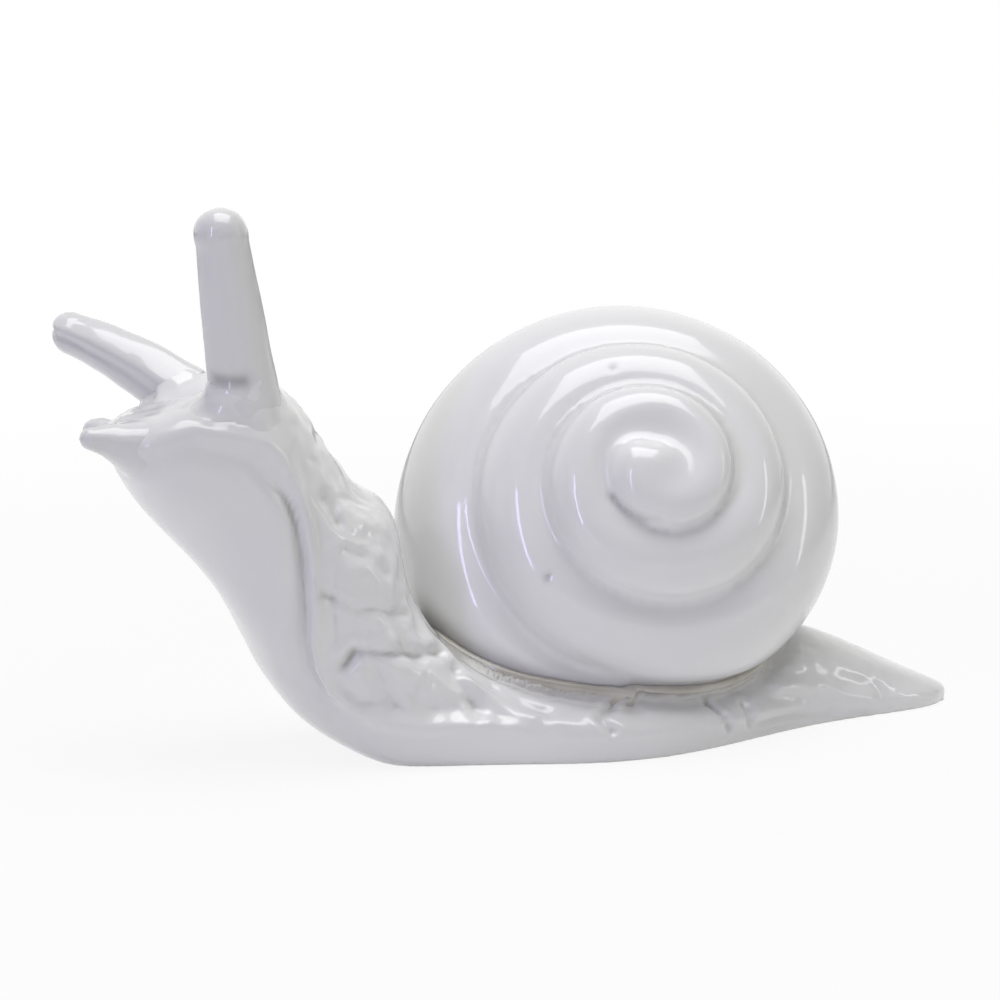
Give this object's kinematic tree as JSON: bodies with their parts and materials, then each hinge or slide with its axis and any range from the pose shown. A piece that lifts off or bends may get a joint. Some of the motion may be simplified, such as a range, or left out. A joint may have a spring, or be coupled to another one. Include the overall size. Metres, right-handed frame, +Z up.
{
  "type": "snail figurine",
  "caption": "Glazed white porcelain snail figurine with a wound shell, raised neck and ball-tipped tentacles, standing on a flat sole.",
  "frame": {"origin": "on the centre line of the flat sole, below the middle of the shell, on the surface that the figurine stands on", "axes": "+X towards the tail, +Y towards the snail's right side, +Z up"},
  "size_m": [0.1178, 0.0467, 0.0694],
  "materials": {
    "body_glaze": "glossy white glaze over modelled skin",
    "shell_glaze": "glossy white glaze",
    "tentacle_glaze": "glossy white glaze",
    "slip_glaze": "glazed joint, slightly yellow where the glaze pools"
  },
  "bodies": {
    "root": {"body": "body_glaze", "shell": "shell_glaze", "shell_slip_joint": "slip_glaze", "upper_tentacle_left": "tentacle_glaze", "upper_tentacle_right": "tentacle_glaze", "lower_tentacle_left": "tentacle_glaze", "lower_tentacle_right": "tentacle_glaze", "upper_collar_left": "slip_glaze", "upper_collar_right": "slip_glaze"}
  },
  "joints": []
}
